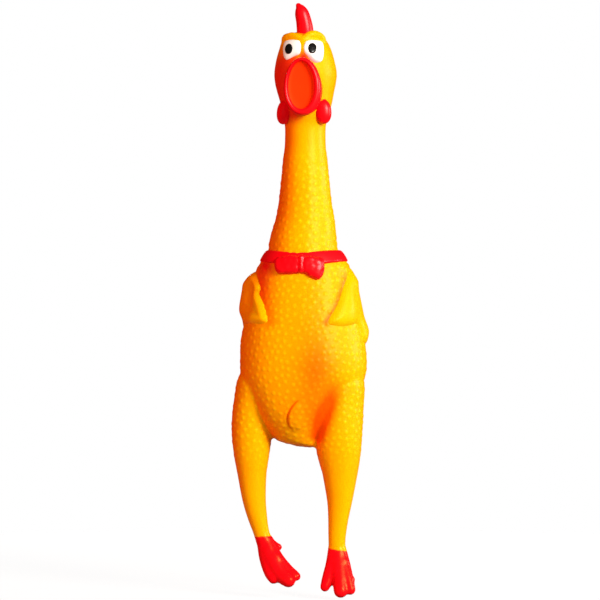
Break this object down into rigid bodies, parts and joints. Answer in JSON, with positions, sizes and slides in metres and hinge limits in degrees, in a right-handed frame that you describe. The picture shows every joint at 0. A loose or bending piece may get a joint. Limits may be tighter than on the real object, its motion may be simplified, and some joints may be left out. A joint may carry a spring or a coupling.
{
  "type": "rubber chicken",
  "caption": "Slim squeaking rubber chicken of soft hollow vinyl with open beak, bow tie, folded wings and limp legs.",
  "frame": {"origin": "middle of the torso where a hand grips it", "axes": "+Z from the feet to the comb, -Y the way the face and belly look, +X the chicken's own left"},
  "size_m": [0.0929, 0.067, 0.4002],
  "materials": {
    "yellow_vinyl": "glossy",
    "red_paint": "glossy",
    "orange_lining": "satin",
    "white_paint": "glossy",
    "black_paint": "glossy",
    "squeaker_plastic": "glossy",
    "reed_film": "satin"
  },
  "bodies": {
    "torso": {"torso_shell": "yellow_vinyl", "vent_fold": "yellow_vinyl", "collar_band": "red_paint", "bow_tie": "red_paint"},
    "belly": {"belly_panel": "yellow_vinyl"},
    "left_wing": {"wing_left": "yellow_vinyl"},
    "right_wing": {"wing_right": "yellow_vinyl"},
    "neck_lower": {"lower_neck": "yellow_vinyl"},
    "neck_upper": {"upper_neck": "yellow_vinyl"},
    "head": {"head_shell": "yellow_vinyl", "wattle_left": "red_paint", "wattle_right": "red_paint", "beak_rim": "red_paint", "mouth_cup": "orange_lining", "eye_left": "white_paint", "eye_right": "white_paint", "pupil_left": "black_paint", "pupil_right": "black_paint", "squeaker_housing": "squeaker_plastic", "squeaker_cap": "squeaker_plastic", "reed_holder": "squeaker_plastic"},
    "comb_fin": {"comb": "red_paint"},
    "reed": {"squeaker_reed": "reed_film"},
    "left_thigh": {"thigh_left": "yellow_vinyl"},
    "left_shank": {"shank_left": "yellow_vinyl"},
    "left_foot": {"foot_left": "red_paint"},
    "right_thigh": {"thigh_right": "yellow_vinyl"},
    "right_shank": {"shank_right": "yellow_vinyl"},
    "right_foot": {"foot_right": "red_paint"}
  },
  "joints": [
    {"name": "neck_base_nod", "type": "hinge", "parent": "torso", "child": "neck_lower", "pos_m": [0, 0, 0.07], "axis": [1, 0, 0], "range_deg": [-28, 28], "stiffness_Nm_per_rad": 1.5},
    {"name": "neck_sway", "type": "hinge", "parent": "neck_lower", "child": "neck_upper", "pos_m": [0, 0, 0.118], "axis": [0, 1, 0], "range_deg": [-28, 28], "stiffness_Nm_per_rad": 1},
    {"name": "head_nod", "type": "hinge", "parent": "neck_upper", "child": "head", "pos_m": [0, 0, 0.143], "axis": [1, 0, 0], "range_deg": [-25, 25], "stiffness_Nm_per_rad": 0.6},
    {"name": "comb_flex", "type": "hinge", "parent": "head", "child": "comb_fin", "pos_m": [0, 0.002, 0.2085], "axis": [0, 1, 0], "range_deg": [-18, 18], "stiffness_Nm_per_rad": 0.05},
    {"name": "belly_squeeze", "type": "slide", "parent": "torso", "child": "belly", "axis": [0, 1, 0], "range_m": [0, 0.01], "stiffness_N_per_m": 600},
    {"name": "left_wing_flap", "type": "hinge", "parent": "torso", "child": "left_wing", "pos_m": [0.027, 0, 0.049], "axis": [0, -1, 0], "range_deg": [0, 15], "stiffness_Nm_per_rad": 0.15},
    {"name": "right_wing_flap", "type": "hinge", "parent": "torso", "child": "right_wing", "pos_m": [-0.027, 0, 0.049], "axis": [0, 1, 0], "range_deg": [0, 15], "stiffness_Nm_per_rad": 0.15},
    {"name": "reed_lift", "type": "hinge", "parent": "head", "child": "reed", "pos_m": [0.0012, -0.0014, 0.18255], "axis": [-1, 0, 0], "range_deg": [0, 5], "stiffness_Nm_per_rad": 0.002},
    {"name": "left_hip_swing", "type": "hinge", "parent": "torso", "child": "left_thigh", "pos_m": [0.022, -0.005, -0.049], "axis": [-1, 0, 0], "range_deg": [-20, 20], "stiffness_Nm_per_rad": 0.8},
    {"name": "left_knee_bend", "type": "hinge", "parent": "left_thigh", "child": "left_shank", "pos_m": [0.024, -0.005, -0.103], "axis": [-1, 0, 0], "range_deg": [-35, 35], "stiffness_Nm_per_rad": 0.3},
    {"name": "left_ankle_bend", "type": "hinge", "parent": "left_shank", "child": "left_foot", "pos_m": [0.0222, -0.005, -0.129], "axis": [-1, 0, 0], "range_deg": [-25, 25], "stiffness_Nm_per_rad": 0.15},
    {"name": "right_hip_swing", "type": "hinge", "parent": "torso", "child": "right_thigh", "pos_m": [-0.034, -0.003, -0.047], "axis": [-1, 0, 0], "range_deg": [-20, 20], "stiffness_Nm_per_rad": 0.8},
    {"name": "right_knee_bend", "type": "hinge", "parent": "right_thigh", "child": "right_shank", "pos_m": [-0.034, -0.003, -0.1], "axis": [-1, 0, 0], "range_deg": [-35, 35], "stiffness_Nm_per_rad": 0.3},
    {"name": "right_ankle_bend", "type": "hinge", "parent": "right_shank", "child": "right_foot", "pos_m": [-0.028, -0.003, -0.125], "axis": [-1, 0, 0], "range_deg": [-25, 25], "stiffness_Nm_per_rad": 0.15}
  ]
}
